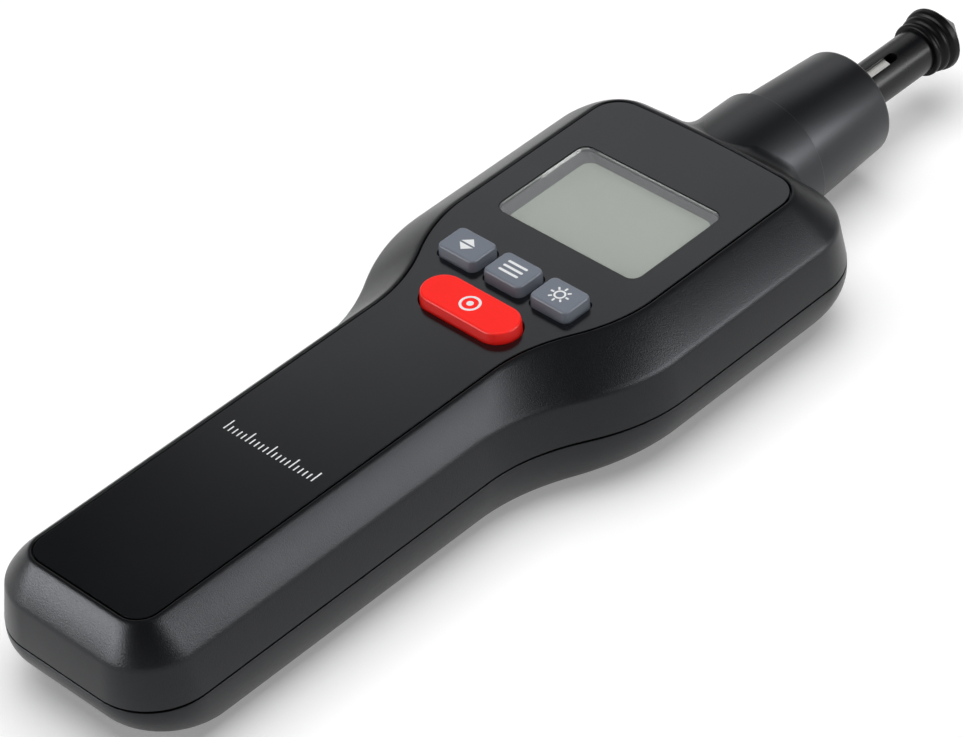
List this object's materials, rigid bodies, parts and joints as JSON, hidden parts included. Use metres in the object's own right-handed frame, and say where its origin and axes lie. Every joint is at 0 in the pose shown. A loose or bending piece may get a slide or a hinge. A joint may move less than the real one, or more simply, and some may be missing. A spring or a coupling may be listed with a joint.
{
  "type": "laser tachometer",
  "caption": "Handheld tachometer: two-part housing with display and keys, laser optics in a nose barrel, and a plug-in contact adapter with a bearing spindle and rubber cone.",
  "frame": {"origin": "middle of the bounding box across and along, at the height of the flat back", "axes": "+Y from the handle's tail to the contact tip, +Z out of the front panel, +X to the right when the display is read with the nose up"},
  "size_m": [0.0756, 0.2656, 0.0345],
  "materials": {
    "upper_shell": "matte fine-grained black ABS",
    "lower_shell": "matte fine-grained black ABS",
    "front_panel": "satin black printed polycarbonate",
    "display_window": "clear polished acrylic",
    "display_bezel": "matt grey moulded plastic",
    "display_glass": "reflective liquid crystal glass, blank",
    "backlight_plate": "white acrylic light guide",
    "contact_strip": "layered conductive rubber",
    "main_board": "green solder mask",
    "board_parts": "moulded chip packages",
    "board_screws": "plated steel",
    "case_screws": "zinc-plated steel",
    "battery_door": "matte fine-grained black ABS",
    "battery": "lacquered steel jacket, no label",
    "battery_contacts": "moulded snap plate",
    "nose_barrel": "satin black ABS",
    "nose_window": "deep red clear filter",
    "optics_holder": "matt black",
    "laser_module": "turned brass can",
    "light_sensor": "epoxy package",
    "sensor_lens": "clear moulded lens",
    "sensor_board": "green solder mask",
    "small_key": "slate grey soft-touch plastic",
    "measure_key": "red soft-touch plastic",
    "dome": "translucent silicone",
    "adapter_collar": "satin black acetal",
    "bearing": "ground and polished steel",
    "bearing_spacer": "turned brass tube",
    "spindle_shaft": "ground stainless steel",
    "marker_disc": "matt black with two white reflective pads",
    "retaining_clip": "phosphated spring steel",
    "tip_sleeve": "satin black anodised or moulded tube",
    "contact_cone": "moulded black rubber"
  },
  "bodies": {
    "housing": {"upper_shell": "upper_shell", "lower_shell": "lower_shell", "front_panel": "front_panel", "display_window": "display_window", "display_bezel": "display_bezel", "display_glass": "display_glass", "backlight_plate": "backlight_plate", "contact_strip": "contact_strip", "main_board": "main_board", "board_parts": "board_parts", "board_screws": "board_screws", "case_screws": "case_screws", "battery": "battery", "battery_contacts": "battery_contacts", "nose_barrel": "nose_barrel", "nose_window": "nose_window", "optics_holder": "optics_holder", "laser_module": "laser_module", "light_sensor": "light_sensor", "sensor_lens": "sensor_lens", "sensor_board": "sensor_board", "mode_dome": "dome", "memory_dome": "dome", "light_dome": "dome", "measure_dome": "dome"},
    "mode_key": {"mode_key": "small_key"},
    "memory_key": {"memory_key": "small_key"},
    "light_key": {"light_key": "small_key"},
    "measure_key": {"measure_key": "measure_key"},
    "battery_door": {"battery_door": "battery_door"},
    "adapter": {"adapter_collar": "adapter_collar", "rear_bearing": "bearing", "bearing_spacer": "bearing_spacer", "front_bearing": "bearing"},
    "spindle": {"spindle_shaft": "spindle_shaft", "marker_disc": "marker_disc", "retaining_clip": "retaining_clip"},
    "tip": {"tip_sleeve": "tip_sleeve", "contact_cone": "contact_cone"}
  },
  "joints": [
    {"name": "mode_key_press", "type": "slide", "parent": "housing", "child": "mode_key", "axis": [0, 0, -1], "range_m": [0, 0.001], "stiffness_N_per_m": 600, "springref_m": -0.0005, "deforming": ["mode_dome"]},
    {"name": "memory_key_press", "type": "slide", "parent": "housing", "child": "memory_key", "axis": [0, 0, -1], "range_m": [0, 0.001], "stiffness_N_per_m": 600, "springref_m": -0.0005, "deforming": ["memory_dome"]},
    {"name": "light_key_press", "type": "slide", "parent": "housing", "child": "light_key", "axis": [0, 0, -1], "range_m": [0, 0.001], "stiffness_N_per_m": 600, "springref_m": -0.0005, "deforming": ["light_dome"]},
    {"name": "measure_key_press", "type": "slide", "parent": "housing", "child": "measure_key", "axis": [0, 0, -1], "range_m": [0, 0.001], "stiffness_N_per_m": 600, "springref_m": -0.0005, "deforming": ["measure_dome"]},
    {"name": "battery_door_slide", "type": "slide", "parent": "housing", "child": "battery_door", "axis": [0, -1, 0], "range_m": [0, 0.006]},
    {"name": "adapter_pull", "type": "slide", "parent": "housing", "child": "adapter", "axis": [0, 1, 0], "range_m": [0, 0.0105]},
    {"name": "spindle_spin", "type": "hinge", "parent": "adapter", "child": "spindle", "pos_m": [0, 0.0822, 0.0163], "axis": [0, 1, 0], "continuous": true},
    {"name": "tip_pull", "type": "slide", "parent": "spindle", "child": "tip", "axis": [0, 1, 0], "range_m": [0, 0.0124]}
  ]
}
